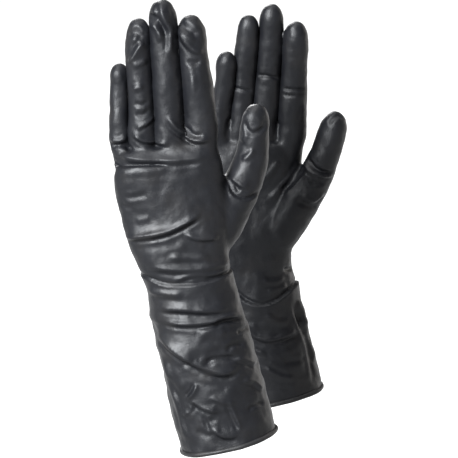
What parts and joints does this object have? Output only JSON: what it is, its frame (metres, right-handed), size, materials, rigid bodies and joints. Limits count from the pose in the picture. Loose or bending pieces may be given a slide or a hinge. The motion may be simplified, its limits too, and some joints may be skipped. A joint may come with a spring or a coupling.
{
  "type": "electrical insulating gloves",
  "caption": "Pair of long-cuff dipped rubber insulating gloves with rolled cuff beads, wearable hollow fingers and thumbs, and bending wrists, knuckles and fingers.",
  "frame": {"origin": "centre of the left glove's hand opening, on the plane of its rolled bead", "axes": "+Z from the cuffs to the fingertips, -Y is the side the left glove's back and the right glove's palm face, +X is the thumb side of both gloves"},
  "size_m": [0.16, 0.2056, 0.3053],
  "materials": {
    "rubber_film": "satin",
    "rolled_bead": "satin"
  },
  "bodies": {
    "left_cuff": {"left_cuff": "rubber_film", "left_cuff_bead": "rolled_bead"},
    "left_palm": {"left_palm": "rubber_film"},
    "left_thumb_base": {"left_thumb_base": "rubber_film"},
    "left_thumb_tip": {"left_thumb_tip": "rubber_film"},
    "left_fingers": {"left_knuckle_band": "rubber_film", "left_little_stall": "rubber_film", "left_ring_stall": "rubber_film", "left_middle_stall": "rubber_film", "left_index_stall": "rubber_film"},
    "left_little_middle": {"left_little_middle": "rubber_film"},
    "left_little_tip": {"left_little_tip": "rubber_film"},
    "left_ring_middle": {"left_ring_middle": "rubber_film"},
    "left_ring_tip": {"left_ring_tip": "rubber_film"},
    "left_middle_middle": {"left_middle_middle": "rubber_film"},
    "left_middle_tip": {"left_middle_tip": "rubber_film"},
    "left_index_middle": {"left_index_middle": "rubber_film"},
    "left_index_tip": {"left_index_tip": "rubber_film"},
    "right_cuff": {"right_cuff": "rubber_film", "right_cuff_bead": "rolled_bead"},
    "right_palm": {"right_palm": "rubber_film"},
    "right_thumb_base": {"right_thumb_base": "rubber_film"},
    "right_thumb_tip": {"right_thumb_tip": "rubber_film"},
    "right_fingers": {"right_knuckle_band": "rubber_film", "right_little_stall": "rubber_film", "right_ring_stall": "rubber_film", "right_middle_stall": "rubber_film", "right_index_stall": "rubber_film"},
    "right_little_middle": {"right_little_middle": "rubber_film"},
    "right_little_tip": {"right_little_tip": "rubber_film"},
    "right_ring_middle": {"right_ring_middle": "rubber_film"},
    "right_ring_tip": {"right_ring_tip": "rubber_film"},
    "right_middle_middle": {"right_middle_middle": "rubber_film"},
    "right_middle_tip": {"right_middle_tip": "rubber_film"},
    "right_index_middle": {"right_index_middle": "rubber_film"},
    "right_index_tip": {"right_index_tip": "rubber_film"}
  },
  "joints": [
    {"name": "left_wrist", "type": "hinge", "parent": "left_cuff", "child": "left_palm", "pos_m": [-0.02637, 0, 0.1107], "axis": [0.9864, 0, 0.1642], "range_deg": [-40, 50], "stiffness_Nm_per_rad": 0.5},
    {"name": "left_thumb_base_bend", "type": "hinge", "parent": "left_palm", "child": "left_thumb_base", "pos_m": [0.01009, 0.00982, 0.1742], "axis": [0.9535, 0.046, -0.2978], "range_deg": [-25, 12], "stiffness_Nm_per_rad": 0.05},
    {"name": "left_thumb_tip_bend", "type": "hinge", "parent": "left_thumb_base", "child": "left_thumb_tip", "pos_m": [0.01473, 0.011, 0.19306], "axis": [0.9831, 0.0481, -0.1769], "range_deg": [-60, 0], "stiffness_Nm_per_rad": 0.015},
    {"name": "left_knuckles", "type": "hinge", "parent": "left_palm", "child": "left_fingers", "pos_m": [-0.03934, 0, 0.18279], "axis": [0.9681, 0, 0.2504], "range_deg": [-65, 10], "stiffness_Nm_per_rad": 0.15},
    {"name": "left_little_middle_bend", "type": "hinge", "parent": "left_fingers", "child": "left_little_middle", "pos_m": [-0.07196, 0.00495, 0.21366], "axis": [0.9999, 0, 0.0165], "range_deg": [-90, 0], "stiffness_Nm_per_rad": 0.03},
    {"name": "left_little_tip_bend", "type": "hinge", "parent": "left_little_middle", "child": "left_little_tip", "pos_m": [-0.07228, 0.0062, 0.2306], "axis": [0.9997, 0, 0.0248], "range_deg": [-60, 0], "stiffness_Nm_per_rad": 0.01},
    {"name": "left_ring_middle_bend", "type": "hinge", "parent": "left_fingers", "child": "left_ring_middle", "pos_m": [-0.05777, 0.00113, 0.23343], "axis": [0.9988, 0, 0.0481], "range_deg": [-90, 0], "stiffness_Nm_per_rad": 0.03},
    {"name": "left_ring_tip_bend", "type": "hinge", "parent": "left_ring_middle", "child": "left_ring_tip", "pos_m": [-0.05901, 0.00253, 0.25735], "axis": [0.9986, 0, 0.0527], "range_deg": [-60, 0], "stiffness_Nm_per_rad": 0.01},
    {"name": "left_middle_middle_bend", "type": "hinge", "parent": "left_fingers", "child": "left_middle_middle", "pos_m": [-0.04122, 0.00029, 0.24384], "axis": [0.9986, 0, 0.0531], "range_deg": [-90, 0], "stiffness_Nm_per_rad": 0.03},
    {"name": "left_middle_tip_bend", "type": "hinge", "parent": "left_middle_middle", "child": "left_middle_tip", "pos_m": [-0.04263, 0.00173, 0.26926], "axis": [0.9984, 0, 0.0557], "range_deg": [-60, 0], "stiffness_Nm_per_rad": 0.01},
    {"name": "left_index_middle_bend", "type": "hinge", "parent": "left_fingers", "child": "left_index_middle", "pos_m": [-0.02198, 0.00077, 0.2359], "axis": [0.9945, 0, 0.1044], "range_deg": [-90, 0], "stiffness_Nm_per_rad": 0.03},
    {"name": "left_index_tip_bend", "type": "hinge", "parent": "left_index_middle", "child": "left_index_tip", "pos_m": [-0.02451, 0.00256, 0.2602], "axis": [0.9946, 0, 0.1035], "range_deg": [-60, 0], "stiffness_Nm_per_rad": 0.01},
    {"name": "right_wrist", "type": "hinge", "parent": "right_cuff", "child": "right_palm", "pos_m": [0.0146, 0.15, 0.0829], "axis": [0.9981, 0, 0.0611], "range_deg": [-50, 40], "stiffness_Nm_per_rad": 0.5},
    {"name": "right_thumb_base_bend", "type": "hinge", "parent": "right_palm", "child": "right_thumb_base", "pos_m": [0.05683, 0.14019, 0.1456], "axis": [0.8956, -0.0464, -0.4425], "range_deg": [-12, 25], "stiffness_Nm_per_rad": 0.05},
    {"name": "right_thumb_tip_bend", "type": "hinge", "parent": "right_thumb_base", "child": "right_thumb_tip", "pos_m": [0.06585, 0.13883, 0.16554], "axis": [0.9272, -0.0477, -0.3714], "range_deg": [0, 60], "stiffness_Nm_per_rad": 0.015},
    {"name": "right_knuckles", "type": "hinge", "parent": "right_palm", "child": "right_fingers", "pos_m": [0.0146, 0.15, 0.15615], "axis": [0.9972, 0, 0.075], "range_deg": [-10, 65], "stiffness_Nm_per_rad": 0.15},
    {"name": "right_little_middle_bend", "type": "hinge", "parent": "right_fingers", "child": "right_little_middle", "pos_m": [-0.00688, 0.14562, 0.19871], "axis": [0.9922, 0, -0.1249], "range_deg": [0, 90], "stiffness_Nm_per_rad": 0.03},
    {"name": "right_little_tip_bend", "type": "hinge", "parent": "right_little_middle", "child": "right_little_tip", "pos_m": [-0.00484, 0.14328, 0.21542], "axis": [0.9928, 0, -0.1195], "range_deg": [0, 60], "stiffness_Nm_per_rad": 0.01},
    {"name": "right_ring_middle_bend", "type": "hinge", "parent": "right_fingers", "child": "right_ring_middle", "pos_m": [0.00923, 0.14833, 0.21221], "axis": [0.9959, 0, -0.0899], "range_deg": [0, 90], "stiffness_Nm_per_rad": 0.03},
    {"name": "right_ring_tip_bend", "type": "hinge", "parent": "right_ring_middle", "child": "right_ring_tip", "pos_m": [0.01136, 0.14563, 0.23596], "axis": [0.996, 0, -0.0893], "range_deg": [0, 60], "stiffness_Nm_per_rad": 0.01},
    {"name": "right_middle_middle_bend", "type": "hinge", "parent": "right_fingers", "child": "right_middle_middle", "pos_m": [0.02677, 0.14892, 0.21716], "axis": [0.9972, 0, -0.0749], "range_deg": [0, 90], "stiffness_Nm_per_rad": 0.03},
    {"name": "right_middle_tip_bend", "type": "hinge", "parent": "right_middle_middle", "child": "right_middle_tip", "pos_m": [0.02868, 0.14648, 0.24247], "axis": [0.9972, 0, -0.0753], "range_deg": [0, 60], "stiffness_Nm_per_rad": 0.01},
    {"name": "right_index_middle_bend", "type": "hinge", "parent": "right_fingers", "child": "right_index_middle", "pos_m": [0.04422, 0.14864, 0.20789], "axis": [0.9987, 0, -0.0505], "range_deg": [0, 90], "stiffness_Nm_per_rad": 0.03},
    {"name": "right_index_tip_bend", "type": "hinge", "parent": "right_index_middle", "child": "right_index_tip", "pos_m": [0.0455, 0.14576, 0.23218], "axis": [0.9986, 0, -0.0533], "range_deg": [0, 60], "stiffness_Nm_per_rad": 0.01},
    {"name": "right_glove_apart", "type": "slide", "parent": "left_cuff", "child": "right_cuff", "axis": [1, 0, 0], "range_m": [0, 0.12]}
  ],
  "couplings": [
    {"joint": "left_little_tip_bend", "follows": "left_little_middle_bend", "ratio": 0.66},
    {"joint": "left_ring_tip_bend", "follows": "left_ring_middle_bend", "ratio": 0.66},
    {"joint": "left_middle_tip_bend", "follows": "left_middle_middle_bend", "ratio": 0.66},
    {"joint": "left_index_tip_bend", "follows": "left_index_middle_bend", "ratio": 0.66},
    {"joint": "right_little_tip_bend", "follows": "right_little_middle_bend", "ratio": 0.66},
    {"joint": "right_ring_tip_bend", "follows": "right_ring_middle_bend", "ratio": 0.66},
    {"joint": "right_middle_tip_bend", "follows": "right_middle_middle_bend", "ratio": 0.66},
    {"joint": "right_index_tip_bend", "follows": "right_index_middle_bend", "ratio": 0.66}
  ]
}
